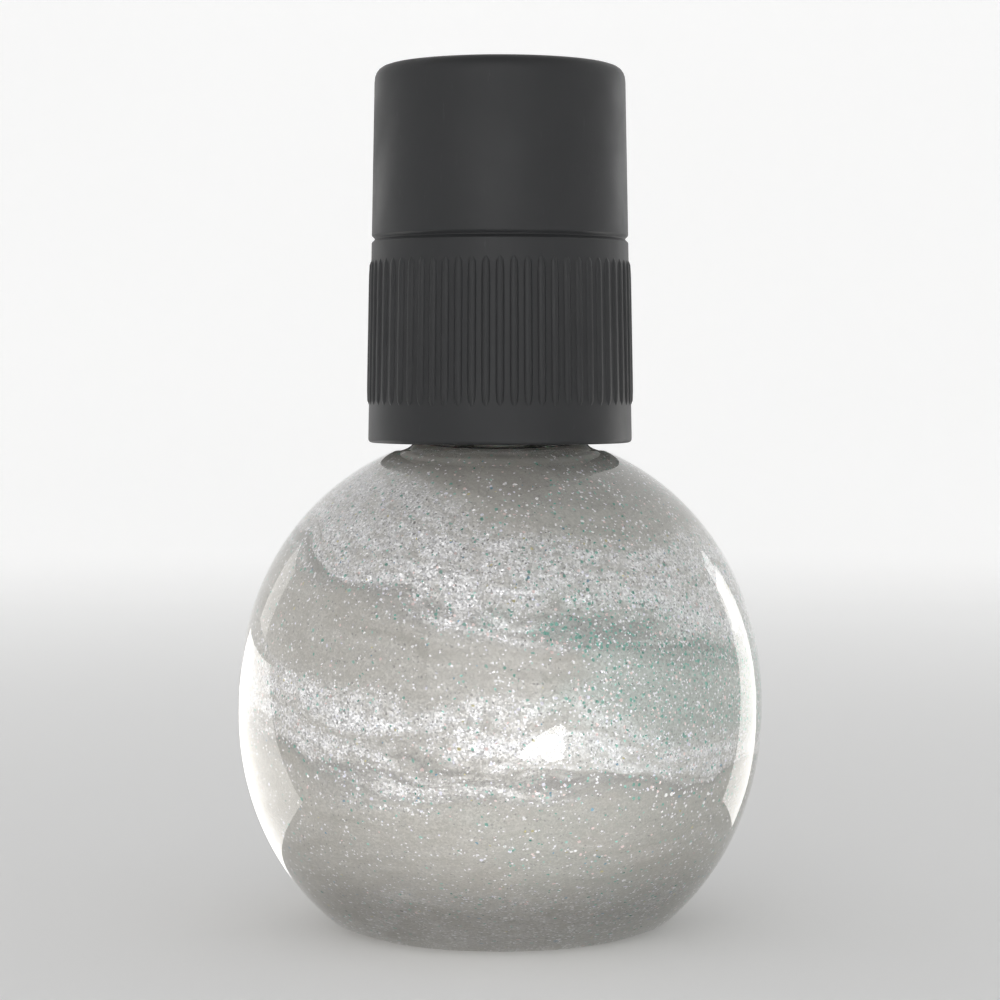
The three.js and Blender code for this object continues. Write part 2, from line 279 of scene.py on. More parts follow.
# How the polish lies, from the floor up: (flow height in millimetres, strength)
SPARKLE_BANDS = [(0, 0.6), (3.4, 0.5), (5.2, 0.14), (11.4, 0.12), (12.7, 0.45), (13.9, 0.8), (16.4, 0.88),
                 (18.0, 0.14), (21.2, 0.16), (22.7, 0.8), (24.4, 1.0), (27.0, 0.85), (29.2, 0.1), (34, 0.03)]
# dark lines between the bands; from 27.6 mm up, painted shade over the top of the polish where less light
# falls
DARK_LINES_AND_PAINTED_TOP_SHADE = [(0, 0.1), (3.6, 0.08), (11.2, 0.15), (12.4, 0.9), (13.5, 0.12), (16.2, 0.1), (18.2, 0.2),
               (20.6, 0.1), (22.0, 0.9), (23.2, 0.15), (27.6, 0.1), (29.4, 0.5), (34, 0.7)]
FLECK_TONES = [(0.0, (0.96, 0.95, 0.96)), (0.38, (0.86, 0.85, 0.96)), (0.50, "pink"), (0.60, "teal"),
               (0.76, (0.30, 0.58, 0.50)), (0.90, "blue"), (0.93, "gold"), (0.96, "shade")]
FLAKES_PER_SQUARE_METRE = 1200.0  # for each one in Count, before the bare stretches are thinned


def flow(graph, place):
    """How the polish has flowed at a point: its silky streak, sparkle, shade (dark lines between the bands,
    and painted shade over the top) and teal crowding.
    """
    level = graph.vector("MULTIPLY", place, (0.045, 0.045, 0.085))
    wide = graph.vector("SUBTRACT", graph.noise(level, 1.0, 1.5, 0.45, part=1), (0.5, 0.5, 0.5))
    near = graph.vector("SUBTRACT", graph.noise(level, 4.2, 1.5, 0.5, part=1), (0.5, 0.5, 0.5))
    bent = graph.vector("ADD", place, graph.vector("SCALE", wide, scale=9.0))
    bent = graph.vector("ADD", bent, graph.vector("SCALE", near, scale=2.8))
    x, y, z = graph.split(bent)
    tilt = graph.remap(z, 5.0, 17.0, -0.16, 0.2, smooth=True)
    height = graph.maths("MULTIPLY_ADD", x, tilt, z)
    streak_at = graph.add("ShaderNodeCombineXYZ", {
        0: graph.maths("MULTIPLY", x, 0.085), 1: graph.maths("MULTIPLY", y, 0.085),
        2: graph.maths("MULTIPLY", height, 0.85)}).outputs[0]
    streak = graph.noise(streak_at, 1.0, 5.0, 0.64)
    ragged = graph.maths("MULTIPLY_ADD", graph.maths("SUBTRACT", streak, 0.5), 5.6, height)
    sparkle = graph.ramp(ragged, SPARKLE_BANDS)
    shade = graph.ramp(ragged, DARK_LINES_AND_PAINTED_TOP_SHADE)
    side = graph.maths("MULTIPLY_ADD", graph.split(place)[0], 0.022, graph.noise(level, 2.3, 2.0, 0.5))
    middle = graph.maths("MULTIPLY", graph.remap(height, 15.0, 18.0, smooth=True),
                         graph.remap(height, 25.0, 22.0, smooth=True))
    teal = graph.maths("MULTIPLY", graph.remap(side, 0.50, 0.64, smooth=True),
                       graph.remap(middle, 0, 1, 0.22, 1.0))
    return streak, sparkle, shade, teal


def fleck_tint(graph, pick, colours):
    """The colour of a fleck from its random number."""
    node = graph.add("ShaderNodeValToRGB", {0: pick})
    fill_ramp(node.color_ramp, "CONSTANT", [
        (start, plain(getattr(colours, tone)) if isinstance(tone, str) else tone)
        for start, tone in FLECK_TONES])
    return node.outputs[0]


def dimmed(graph, tint, factor):
    """A colour times a plain factor."""
    grey = graph.add("ShaderNodeCombineColor", {0: factor, 1: factor, 2: factor}).outputs[0]
    return graph.mix(1.0, tint, grey, mode="MULTIPLY")


def polish_material(colours):
    """Silver-grey polish: bent bands of fine sparkle between smooth greige tongues, with colour flecks and
    painted shade near the top.
    """
    material, graph, place = new_material("glitter polish")
    streak, sparkle, shade, teal = flow(graph, place)
    clumps = graph.remap(graph.noise(place, 0.9, 3.0, 0.6), 0.3, 0.62, 0.4, 1.2)
    silk = graph.remap(streak, 0.37, 0.56, 0.3, 1.15)
    dense = graph.maths("MULTIPLY", sparkle, graph.maths("MULTIPLY", clumps, silk), clamp=True)
    dense = graph.maths("MAXIMUM", dense, graph.maths("MULTIPLY", teal, 0.5))

    body = graph.mix(graph.remap(streak, 0.36, 0.66, 0.0, 0.7), plain(colours.greige), plain(colours.silk))
    body = graph.mix(graph.maths("MULTIPLY", dense, 0.85), body, plain(colours.silver))
    body = graph.mix(graph.maths("MULTIPLY", teal, 0.55), body, (0.30, 0.37, 0.335))
    # dark lines between the bands, and painted shade darkening the top of the polish
    body = graph.mix(graph.maths("MULTIPLY", shade, graph.remap(streak, 0.35, 0.6, 0.85, 0.35)),
                     body, plain(colours.shade))

    # fine grain: every cell is one flake with its own tone and lean
    grain = graph.cells(place, 9.0)
    tone = graph.split(grain)
    lift = graph.remap(graph.maths("POWER", tone[0], 1.6), 0.0, 1.0, 0.76, 1.6)
    lift = graph.maths("MULTIPLY_ADD", graph.maths("SUBTRACT", lift, 1.0),
                       graph.remap(dense, 0.0, 1.0, 0.22, 1.0), 1.0)
    body = dimmed(graph, body, lift)
    speck = graph.maths("GREATER_THAN", tone[1], graph.remap(dense, 0.0, 1.0, 0.995, 0.86))
    body = graph.mix(graph.maths("MULTIPLY", speck, 0.9), body, (0.96, 0.95, 0.99))
    pit = graph.maths("GREATER_THAN", tone[2], graph.remap(dense, 0.0, 1.0, 0.988, 0.965))
    body = graph.mix(graph.maths("MULTIPLY", pit, 0.65), body, plain(colours.shade))

    # larger flecks, thickest where a band begins or ends and in the teal patches
    torn = graph.vector("SUBTRACT", graph.noise(place, 5.0, 1.0, part=1), (0.5, 0.5, 0.5))
    torn = graph.vector("ADD", place, graph.vector("SCALE", torn, scale=0.16))
    fleck = graph.add("ShaderNodeTexVoronoi", {"Vector": torn, "Scale": 3.6})
    pick = graph.split(fleck.outputs["Color"])
    spot = graph.maths("LESS_THAN", fleck.outputs["Distance"], graph.remap(pick[2], 0, 1, 0.16, 0.45))
    crowd = graph.maths("MULTIPLY_ADD", shade, 0.34, graph.maths("MULTIPLY_ADD", dense, 0.24, 0.014))
    crowd = graph.maths("MULTIPLY_ADD", teal, 0.42, crowd)
    chosen = graph.maths("MULTIPLY", spot, graph.maths("LESS_THAN", pick[0], crowd))
    towards = graph.maths("MULTIPLY_ADD", teal, 0.62, graph.maths("MULTIPLY", shade, 0.4), clamp=True)
    tint = fleck_tint(graph, graph.between(towards, pick[1], 0.75), colours)
    body = graph.mix(graph.maths("MULTIPLY", chosen, 0.8), body, tint)

    # each flake leans its own way, so that it mirrors the lights by itself
    lean = graph.vector("SCALE", graph.vector("SUBTRACT", grain, (0.5, 0.5, 0.5)),
                        scale=graph.remap(dense, 0.0, 1.0, 0.16, 0.75))
    fleck_lean = graph.vector("SUBTRACT", fleck.outputs["Color"], (0.5, 0.5, 0.5))
    fleck_lean = graph.vector("SCALE", fleck_lean, scale=graph.maths("MULTIPLY", chosen, 0.7))
    lean = graph.vector("ADD", lean, fleck_lean)
    normal = graph.add("ShaderNodeNewGeometry").outputs["Normal"]
    normal = graph.vector("NORMALIZE", graph.vector("ADD", normal, lean))
    metal = graph.remap(dense, 0.0, 1.0, 0.14, 0.45)
    rough = graph.remap(dense, 0.0, 1.0, 0.5, 0.3)
    close_material(graph, principled(graph, Base_Color=body, Metallic=metal, Roughness=rough, Normal=normal))
    return material


def flake_material(colours):
    """Cut metallised flakes, each in its own tone."""
    material, graph, place = new_material("glitter flakes")
    tone = graph.add("ShaderNodeAttribute", attribute_name="flake_tone").outputs["Fac"]
    scuff = graph.remap(graph.noise(place, 3.0, 2.0), 0.3, 0.7, 0.2, 0.36)
    close_material(graph, principled(graph, Base_Color=fleck_tint(graph, tone, colours), Metallic=0.4,
                                     Roughness=scuff))
    return material


def glass_material():
    """Clear polished glass; lamps reach what is behind it."""
    material, graph, place = new_material("clear glass")
    ripple = graph.noise(place, 0.16, 2.0, 0.4)
    normal = graph.bump(ripple, 0.35, 0.12 * MM)
    glass = principled(graph, Base_Color=(0.985, 0.988, 0.985, 1), Roughness=0.0, IOR=1.52,
                       Transmission_Weight=1.0, Normal=normal)
    through = graph.add("ShaderNodeBsdfTransparent", {"Color": (0.97, 0.97, 0.965, 1)}).outputs[0]
    lamp_ray = graph.add("ShaderNodeLightPath").outputs["Is Shadow Ray"]
    close_material(graph, graph.add("ShaderNodeMixShader", {0: lamp_ray, 1: glass, 2: through}).outputs[0])
    return material


def overcap_material(colours):
    """Black soft-touch plastic: fine moulded grain, a little handling shine and dust-fine scuffs."""
    material, graph, place = new_material("soft-touch plastic")
    grain = graph.noise(place, 9.0, 3.0, 0.7)
    handled = graph.noise(place, 0.14, 3.0, 0.55)
    scuff_at = graph.add("ShaderNodeMapping", {"Vector": place, "Scale": (1.0, 1.0, 0.12)}).outputs[0]
    scuffs = graph.remap(graph.noise(scuff_at, 2.4, 5.0, 0.75), 0.62, 0.72)
    tone = graph.mix(graph.maths("MULTIPLY", scuffs, 0.3), plain(colours.overcap), (0.05, 0.05, 0.052))
    rough = graph.maths("ADD", graph.remap(handled, 0.35, 0.65, 0.36, 0.5),
                        graph.maths("MULTIPLY", grain, 0.08))
    normal = graph.bump(grain, 0.25, 0.02 * MM)
    close_material(graph, principled(graph, Base_Color=tone, Roughness=rough, Specular_IOR_Level=0.38,
                                     Normal=normal))
    return material


def moulded_material(colours, name, wet_below=None):
    """White moulded plastic. Below a height it wears a coat of polish, as a brush stem does."""
    material, graph, place = new_material(name)
    mottle = graph.noise(place, 0.5, 3.0, 0.6)
    tone = graph.mix(graph.remap(mottle, 0.3, 0.7), plain(colours.plastic),
                     tuple(0.93 * c for c in colours.plastic))
    grain = graph.noise(place, 7.0, 2.0, 0.6)
    rough = graph.remap(mottle, 0.3, 0.7, 0.34, 0.46)
    normal = graph.bump(grain, 0.2, 0.015 * MM)
    plastic = principled(graph, Base_Color=tone, Roughness=rough, Normal=normal,
                         Subsurface_Weight=0.15, Subsurface_Scale=0.6 * MM)
    if wet_below is None:
        close_material(graph, plastic)
        return material
    wet = wet_coat(graph, place, colours)
    ragged = graph.remap(graph.noise(place, 0.7, 3.0), 0.2, 0.8, -1.6, 1.6)
    edge = graph.maths("ADD", graph.split(place)[2], ragged)
    coated = graph.remap(edge, wet_below / MM - 0.15, wet_below / MM + 0.15, 1.0, 0.0)
    close_material(graph, graph.add("ShaderNodeMixShader", {0: coated, 1: plastic, 2: wet}).outputs[0])
    return material


def wet_coat(graph, place, colours):
    """A glossy coat of the glitter polish, for what stands in it."""
    grain = graph.cells(place, 6.2)
    tone = graph.split(grain)
    base = graph.mix(graph.remap(graph.noise(place, 0.8, 3.0), 0.35, 0.65), plain(colours.greige),
                     plain(colours.silver))
    flecks = graph.mix(graph.remap(tone[1], 0.9, 0.91), base, (0.9, 0.92, 0.93))
    flecks = graph.mix(graph.remap(tone[2], 0.95, 0.96), flecks, plain(colours.teal))
    normal = graph.add("ShaderNodeNewGeometry").outputs["Normal"]
    lean = graph.vector("SCALE", graph.vector("SUBTRACT", grain, (0.5, 0.5, 0.5)), scale=0.5)
    normal = graph.vector("NORMALIZE", graph.vector("ADD", normal, lean))
    return principled(graph, Base_Color=flecks, Metallic=0.45, Roughness=0.32, Normal=normal,
                      Coat_Weight=1.0, Coat_Roughness=0.06)


def bristle_material(colours):
    """Black nylon filaments, loaded with polish towards the tip."""
    material, graph, place = new_material("loaded bristles")
    strand = graph.add("ShaderNodeAttribute", attribute_name="strand").outputs["Fac"]
    tone = graph.mix(strand, plain(colours.bristle), (0.05, 0.045, 0.045))
    nylon = principled(graph, Base_Color=tone, Roughness=0.38)
    wet = wet_coat(graph, place, colours)
    ragged = graph.maths("ADD", graph.maths("MULTIPLY", strand, 3.0),
                         graph.remap(graph.noise(place, 0.9, 2.0), 0.2, 0.8, -2.5, 2.5))
    top = graph.maths("ADD", graph.split(place)[2], ragged)
    coated = graph.remap(top, STEM_LOW.z / MM - 2.2, STEM_LOW.z / MM - 0.6, 1.0, 0.0)
    close_material(graph, graph.add("ShaderNodeMixShader", {0: coated, 1: nylon, 2: wet}).outputs[0])
    return material


def steel_material(colours, name, brushed=False):
    """Bright steel with faint marks from its making."""
    material, graph, place = new_material(name)
    stretch = (1, 1, 14 if brushed else 1)
    marks_at = graph.add("ShaderNodeMapping", {"Vector": place, "Scale": stretch}).outputs[0]
    marks = graph.noise(marks_at, 3.0 if brushed else 1.2, 3.0, 0.6)
    rough = graph.remap(marks, 0.3, 0.7, 0.22 if brushed else 0.05, 0.4 if brushed else 0.16)
    normal = graph.bump(marks, 0.15, 0.01 * MM)
    close_material(graph, principled(graph, Base_Color=(*colours.steel, 1), Metallic=1.0, Roughness=rough,
                                     Normal=normal))
    return material


def paper_material(colours):
    """Uncoated paper with a faint fibre."""
    material, graph, place = new_material("label paper")
    fibre_at = graph.add("ShaderNodeMapping", {"Vector": place, "Scale": (1, 4.5, 1)}).outputs[0]
    fibre = graph.noise(fibre_at, 2.2, 5.0, 0.7)
    darker = tuple(0.9 * c for c in colours.paper)
    tone = graph.mix(graph.remap(fibre, 0.35, 0.7), plain(colours.paper), darker)
    normal = graph.bump(fibre, 0.3, 0.02 * MM)
    close_material(graph, principled(graph, Base_Color=tone, Roughness=0.85, Normal=normal, Sheen_Weight=0.1))
    return material


def foam_material(colours):
    """Closed-cell foam, with small pores painted darker inside as shade."""
    material, graph, place = new_material("liner foam")
    pores = graph.cells(place, 5.0, part="Distance")
    # painted shade: darker towards the middle of each pore
    tone = graph.mix(graph.remap(pores, 0.0, 0.35), tuple(0.7 * c for c in colours.foam), plain(colours.foam))
    normal = graph.bump(pores, 0.4, 0.04 * MM)
    close_material(graph, principled(graph, Base_Color=tone, Roughness=0.8, Normal=normal))
    return material


def floor_material(colours):
    """Plain pale matt sweep, which glows a little far from the bottle as a light box does."""
    material, graph, place = new_material("pale sweep")
    cloud = graph.noise(place, 0.004, 2.0, 0.5)
    darker = tuple(0.97 * c for c in colours.floor)
    tone = graph.mix(graph.remap(cloud, 0.3, 0.7), plain(colours.floor), darker)
    glow = graph.remap(graph.vector("LENGTH", place), 60.0, 420.0, 0.0, 0.3, smooth=True)
    close_material(graph, principled(graph, Base_Color=tone, Roughness=1.0, Specular_IOR_Level=0.0,
                                     Emission_Color=(1, 1, 1, 1), Emission_Strength=glow))
    return material


# ---------------------------------------------------------------- meshes

def new_object(name, mesh, material):
    obj = bpy.data.objects.new(name, mesh)
    bpy.context.scene.collection.objects.link(obj)
    if material is not None:
        mesh.materials.clear()
        mesh.materials.append(material)
    return obj


def smooth(mesh, crease=40):
    """Smooth shading, kept sharp at edges steeper than crease degrees."""
    mesh.polygons.foreach_set("use_smooth", [True] * len(mesh.polygons))
    mesh.set_sharp_from_angle(angle=math.radians(crease))


def barrel(radius, half_height, roundness, centre_z, start, end, count):
    """Points of a rounded barrel's outline; angle 0 is its widest place and 90 degrees its top."""
    points = []
    for i in range(count + 1):
        angle = start + (end - start) * i / count
        r = radius * abs(cos(angle)) ** (2 / roundness)
        rise = half_height * abs(sin(angle)) ** (2 / roundness)
        points.append((r if r > 1e-7 else 0.0, centre_z + math.copysign(rise, angle)))
    return points


def softened(corners, steps=4):
    """An outline from (r, z, round) corners, each cut back by its rounding and bent round."""
    points = []
    for i, (r, z, cut) in enumerate(corners):
        if not cut:
            points.append((r, z))
            continue
        here = Vector((r, z))
        before = Vector(corners[i - 1][:2])
        after = Vector(corners[(i + 1) % len(corners)][:2])
        first = here + (before - here).normalized() * cut
        last = here + (after - here).normalized() * cut
        for k in range(steps + 1):
            t = k / steps
            point = first * (1 - t) ** 2 + here * 2 * t * (1 - t) + last * t * t
            points.append((point.x, point.y))
    return points


def filled_in(points, longest):
    """The same outline with its long straight stretches split up."""
    out = [points[0]]
    for (r0, z0), (r1, z1) in zip(points, points[1:]):
        parts = max(1, math.ceil(math.hypot(r1 - r0, z1 - z0) / longest))
        out += [(r0 + (r1 - r0) * k / parts, z0 + (z1 - z0) * k / parts) for k in range(1, parts + 1)]
    return out


def turned(name, outline, segments, relief=None, closed=False):
    """A mesh turned about Z from an outline listed up its outside.

    relief(angle, r, z) says how far a point moves outwards.
    """
    vertices, rows = [], []
    for r, z in outline:
        if r == 0:
            rows.append([len(vertices)] * segments)
            vertices.append((0, 0, z))
            continue
        rows.append(list(range(len(vertices), len(vertices) + segments)))
        for k in range(segments):
            angle = tau * k / segments
            out = r + (relief(angle, r, z) if relief else 0)
            vertices.append((out * cos(angle), out * sin(angle), z))
    faces = []
    pairs = list(zip(rows, rows[1:])) + ([(rows[-1], rows[0])] if closed else [])
    for low, high in pairs:
        for k in range(segments):
            j = (k + 1) % segments
            ring = [low[k], low[j], high[j], high[k]]
            faces.append([v for i, v in enumerate(ring) if v != ring[i - 1]])
    mesh = bpy.data.meshes.new(name)
    mesh.from_pydata(vertices, [], [f for f in faces if len(f) > 2])
    mesh.validate()
    smooth(mesh)
    return mesh


def ridge(angle, z, start_z, start_turn, turns, pitch, half_width):
    """Height, from 0 to 1, of a right-handed thread's rounded bead at a place on its wall."""
    best = 0.0
    turn = (angle / tau - start_turn) % 1.0
    while turn <= turns:
        away = abs(z - (start_z + turn * pitch)) / half_width
        if away < 1:
            run_out = min(1.0, min(turn, turns - turn) / (0.12 * turns))
            best = max(best, sqrt(1 - away * away) * sin(run_out * pi / 2))
        turn += 1.0
    return best


def thread_start(closure):
    return LIP_Z - closure.thread_top - closure.neck_turns * closure.pitch


def centre_height(glass):
    """Height of the body's widest place."""
    share = 1 - (glass.foot_radius / glass.body_radius) ** glass.roundness
    return glass.half_height * share ** (1 / glass.roundness)


def cavity(glass, inset, top_radius, count):
    """Outline of the space inside the glass, drawn in by inset, from the axis up to top_radius."""
    centre_z = centre_height(glass)
    radius = glass.body_radius - glass.wall - inset
    drop = centre_z - glass.floor_z - inset
    lower = barrel(radius, drop, glass.floor_roundness, centre_z, -pi / 2, 0, count)
    end = math.acos((top_radius / radius) ** (glass.roundness / 2))
    roof = glass.half_height - glass.shoulder_wall - inset
    return lower + barrel(radius, roof, glass.roundness, centre_z, 0, end, count)[1:]


def apply_tree(obj, tree, values):
    """Runs a node tree on an object and leaves a plain mesh. values are set by socket name."""
    modifier = obj.modifiers.new("shape", "NODES")
    modifier.node_group = tree
    for item in tree.interface.items_tree:
        if item.item_type == "SOCKET" and item.in_out == "INPUT" and item.name in values:
            modifier[item.identifier] = values[item.name]
    graph = bpy.context.evaluated_depsgraph_get()
    mesh = bpy.data.meshes.new_from_object(obj.evaluated_get(graph))
    obj.modifiers.clear()
    obj.data = mesh
    if not mesh.polygons:
        raise RuntimeError(f"{obj.name} came out empty")
    return mesh


def new_tree(name, inputs):
    """A geometry node tree, its graph and its input sockets by name. inputs are (name, kind, default)."""
    tree = bpy.data.node_groups.new(name, "GeometryNodeTree")
    tree.interface.new_socket("Geometry", in_out="INPUT", socket_type="NodeSocketGeometry")
    for label, kind, default in inputs:
        socket = tree.interface.new_socket(label, in_out="INPUT", socket_type=kind)
        socket.default_value = default
    tree.interface.new_socket("Geometry", in_out="OUTPUT", socket_type="NodeSocketGeometry")
    graph = Graph(tree)
    return tree, graph, graph.add("NodeGroupInput").outputs


def close_tree(graph, geometry, material):
    """Ends a tree with real geometry in its material."""
    real = graph.add("GeometryNodeRealizeInstances", {0: geometry}).outputs[0]
    painted = graph.add("GeometryNodeSetMaterial", {"Geometry": real, "Material": material}).outputs[0]
    graph.add("NodeGroupOutput", {0: painted})


def settle(obj, body, slot, *nodes):
    """Hangs a finished piece under its body's empty and hides the imported parts it stands in for."""
    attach(obj, body)
    if nodes:
        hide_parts(*nodes)


# ---------------------------------------------------------------- pieces

def make_glass(glass, closure):
    centre_z = centre_height(glass)
    heel_z = 0.6 * MM
    start = -math.asin(((centre_z - heel_z) / glass.half_height) ** (glass.roundness / 2))
    end = math.acos((glass.neck_fillet / glass.body_radius) ** (glass.roundness / 2))
    side = barrel(glass.body_radius, glass.half_height, glass.roundness, centre_z, start, end, 72)
    root_z = side[-1][1]
    foot_in, foot_out = 8.2 * MM, 10.3 * MM
    under = softened([(0, glass.recess, 0), (foot_in - 0.35 * MM, glass.recess, 0.25 * MM),
                      (foot_in, 0, 0.12 * MM), (foot_out, 0, 0.3 * MM), (*side[0], 0)], 5)[:-1]
    collar = softened([(*side[-1], 0), (glass.neck_radius, root_z + 0.15 * MM, 1.15 * MM),
                       (glass.neck_radius, LIP_Z, 0.75 * MM), (glass.bore_radius, LIP_Z, 0.5 * MM),
                       (glass.bore_radius, root_z - 2 * MM, 0)], 8)[1:-1]
    inside = cavity(glass, 0, glass.bore_radius, 52)[::-1]
    outline = under + side + filled_in(collar, THREAD_STEP) + inside
    start_z = thread_start(closure)

    def bead(angle, r, z):
        on_neck = abs(r - glass.neck_radius) < ON_WALL
        return closure.neck_ridge * ridge(angle, z, start_z, 0, closure.neck_turns, closure.pitch,
                                          0.58 * MM) if on_neck else 0

    mesh = turned("glass_body", outline, 160, bead)
    obj = new_object("glass_body", mesh, glass_material())
    settle(obj, "bottle", "clear_glass", "glass_bottle")


def polish_skin(glass, count):
    """Outline of the polish where it touches the glass, from the floor to the neck."""
    return cavity(glass, -glass.wetting, glass.bore_radius + 0.35 * MM, count)


def make_polish(glass, colours):
    skin = polish_skin(glass, 72)
    inner = [(r - glass.film, z - glass.film) for r, z in reversed(skin)
             if z - glass.film > FILL_Z + 0.5 * MM]
    surface_r = inner[-1][0] + 0.2 * MM
    meniscus = [(surface_r - 0.1 * MM, FILL_Z + 0.25 * MM), (surface_r - 0.5 * MM, FILL_Z + 0.05 * MM),
                (surface_r - 1.2 * MM, FILL_Z), (2.2 * MM, FILL_Z), (0, FILL_Z)]
    mesh = turned("polish", skin + inner + meniscus, 160)
    obj = new_object("polish", mesh, polish_material(colours))
    settle(obj, "bottle", "glitter_polish", "polish_fill")


def flake_tree(material):
    """Scatters thin six-sided flakes over a skin, thickest in the sparkling bands of the flow."""
    tree, graph, given = new_tree("loose flakes", [
        ("Count", "NodeSocketInt", 4000), ("Radius", "NodeSocketFloat", 0.0001),
        ("Seed", "NodeSocketInt", 1)])
    place = graph.vector("SCALE", graph.add("GeometryNodeInputPosition").outputs[0], scale=1 / MM)
    _, sparkle, shade, teal = flow(graph, place)
    crowd = graph.maths("MULTIPLY_ADD", sparkle, 0.7, graph.maths("MULTIPLY", shade, 0.3))
    patch = graph.remap(graph.noise(place, 0.3, 2.0), 0.35, 0.62, 0.2, 1.0)
    keep = graph.maths("MULTIPLY_ADD", crowd, patch, graph.maths("MULTIPLY_ADD", teal, 0.4, 0.012))
    density = graph.maths("MULTIPLY", given["Count"], FLAKES_PER_SQUARE_METRE)
    scatter = graph.add("GeometryNodeDistributePointsOnFaces", {
        "Mesh": given["Geometry"], "Density": density, "Seed": given["Seed"]})
    chance = graph.add("FunctionNodeRandomValue", {2: 0.0, 3: 1.0, "Seed": 5}, data_type="FLOAT").outputs[1]
    spare = graph.add("FunctionNodeCompare", {0: chance, 1: keep}, data_type="FLOAT",
                      operation="GREATER_THAN")
    kept = graph.add("GeometryNodeDeleteGeometry", {"Geometry": scatter.outputs["Points"],
                                                    "Selection": spare.outputs[0]}, domain="POINT").outputs[0]
    flake = graph.add("GeometryNodeMeshCylinder", {
        "Vertices": 6, "Side Segments": 1, "Fill Segments": 1, "Radius": 1.0, "Depth": 0.16},
        fill_type="NGON").outputs["Mesh"]
    flat = graph.add("FunctionNodeAlignRotationToVector", {
        "Rotation": scatter.outputs["Rotation"], "Factor": 1.0, "Vector": scatter.outputs["Normal"]},
        axis="Z").outputs[0]
    lean = graph.add("FunctionNodeRandomValue", {0: (-0.38, -0.38, -3.1), 1: (0.38, 0.38, 3.1), "Seed": 11},
                     data_type="FLOAT_VECTOR").outputs[0]
    lean = graph.add("FunctionNodeEulerToRotation", {0: lean}).outputs[0]
    turn = graph.add("FunctionNodeRotateRotation", {0: flat, 1: lean}, rotation_space="LOCAL").outputs[0]
    size = graph.add("FunctionNodeRandomValue", {2: 0.55, 3: 1.5, "Seed": 17}, data_type="FLOAT").outputs[1]
    size = graph.maths("MULTIPLY", graph.maths("POWER", size, 1.6), given["Radius"])
    made = graph.add("GeometryNodeInstanceOnPoints", {"Points": kept, "Instance": flake, "Rotation": turn,
                                                      "Scale": size}).outputs[0]
    tone = graph.add("FunctionNodeRandomValue", {2: 0.0, 3: 1.0, "Seed": 23}, data_type="FLOAT").outputs[1]
    towards = graph.maths("MULTIPLY_ADD", teal, 0.6, graph.maths("MULTIPLY", shade, 0.4), clamp=True)
    tone = graph.between(towards, tone, 0.75)
    toned = graph.add("GeometryNodeStoreNamedAttribute", {
        "Geometry": made, "Name": "flake_tone", "Value": tone},
        data_type="FLOAT", domain="INSTANCE").outputs[0]
    close_tree(graph, toned, material)
    return tree


def make_flakes(glass, colours):
    outline = [p for p in polish_skin(glass, 40) if p[0] > 5 * MM]
    mesh = turned("flakes", outline, 96)
    obj = new_object("glitter_flakes", mesh, None)
    tree = flake_tree(flake_material(colours))
    apply_tree(obj, tree, {"Count": glass.flakes, "Radius": glass.flake_radius, "Seed": 4})
    settle(obj, "bottle", "glitter_polish")


def make_balls(colours):
    for number in (1, 2):
        low, high = (Vector(c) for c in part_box(f"mixing_ball_{number}"))
        centre = (low + high) / 2
        radius = (high.x - low.x) / 2
        outline = barrel(radius, radius, 2, 0, -pi / 2, pi / 2, 24)
        mesh = turned("ball", outline, 40)
        for vertex in mesh.vertices:
            vertex.co += centre
        obj = new_object(f"steel_ball_{number}", mesh, steel_material(colours, "ball steel"))
        settle(obj, f"ball_{number}", "polished_steel", f"mixing_ball_{number}")


def make_label(colours):
    low, high = LABEL_LOW.z + 0.2 * MM, LABEL_HIGH.z + 0.24 * MM
    radius = LABEL_HIGH.x
    edge = 0.05 * MM
    outline = softened([(0, low, 0), (radius, low, edge), (radius, high, edge), (0, high, 0)], 3)
    obj = new_object("blank_label", turned("blank_label", outline, 96), paper_material(colours))
    settle(obj, "bottle", "label_paper", "base_label")


def make_liner(colours):
    low, high = LINER_LOW.z - 0.2 * MM, LINER_HIGH.z + 0.2 * MM
    outer, hole = LINER_HIGH.x, 2.5 * MM
    edge = 0.22 * MM
    corners = [(hole, low, edge), (outer, low, edge), (outer, high, edge), (hole, high, edge)]
    mesh = turned("liner_washer", softened(corners, 5), 96, closed=True)
    settle(new_object("liner_washer", mesh, foam_material(colours)), "liner", "liner_foam", "sealing_liner")


def make_inner_cap(closure, brush, colours):
    ceiling = STEM_HIGH.z - brush.post_height + 0.3 * MM
    low, top = INNER_LOW.z, ceiling + 1.2 * MM
    outer, bore = INNER_HIGH.x - 0.15 * MM, closure.inner_bore
    hole, socket = brush.post_radius + 0.3 * MM, 3.3 * MM
    corners = [(bore, low, 0.3 * MM), (outer, low, 0.2 * MM), (outer, top, 0.4 * MM), (socket, top, 0.3 * MM),
               (socket, INNER_HIGH.z, 0.2 * MM), (hole, INNER_HIGH.z, 0.25 * MM), (hole, ceiling, 0.15 * MM),
               (bore, ceiling, 0.3 * MM)]
    start_turn = 0.25
    start_z = thread_start(closure) + (start_turn - 0.5) * closure.pitch
    outline = softened(corners, 5)
    outline = filled_in(outline + outline[:1], THREAD_STEP)[:-1]

    def bead(angle, r, z):
        if abs(r - bore) > ON_WALL or z > ceiling - 0.4 * MM:
            return 0
        return -closure.cap_ridge * ridge(angle, z, start_z, start_turn, closure.cap_turns, closure.pitch,
                                          0.43 * MM)

    mesh = turned("inner_closure", outline, 144, bead, closed=True)
    obj = new_object("inner_closure", mesh, moulded_material(colours, "closure plastic"))
    settle(obj, "cap", "inner_cap_plastic", "inner_cap")


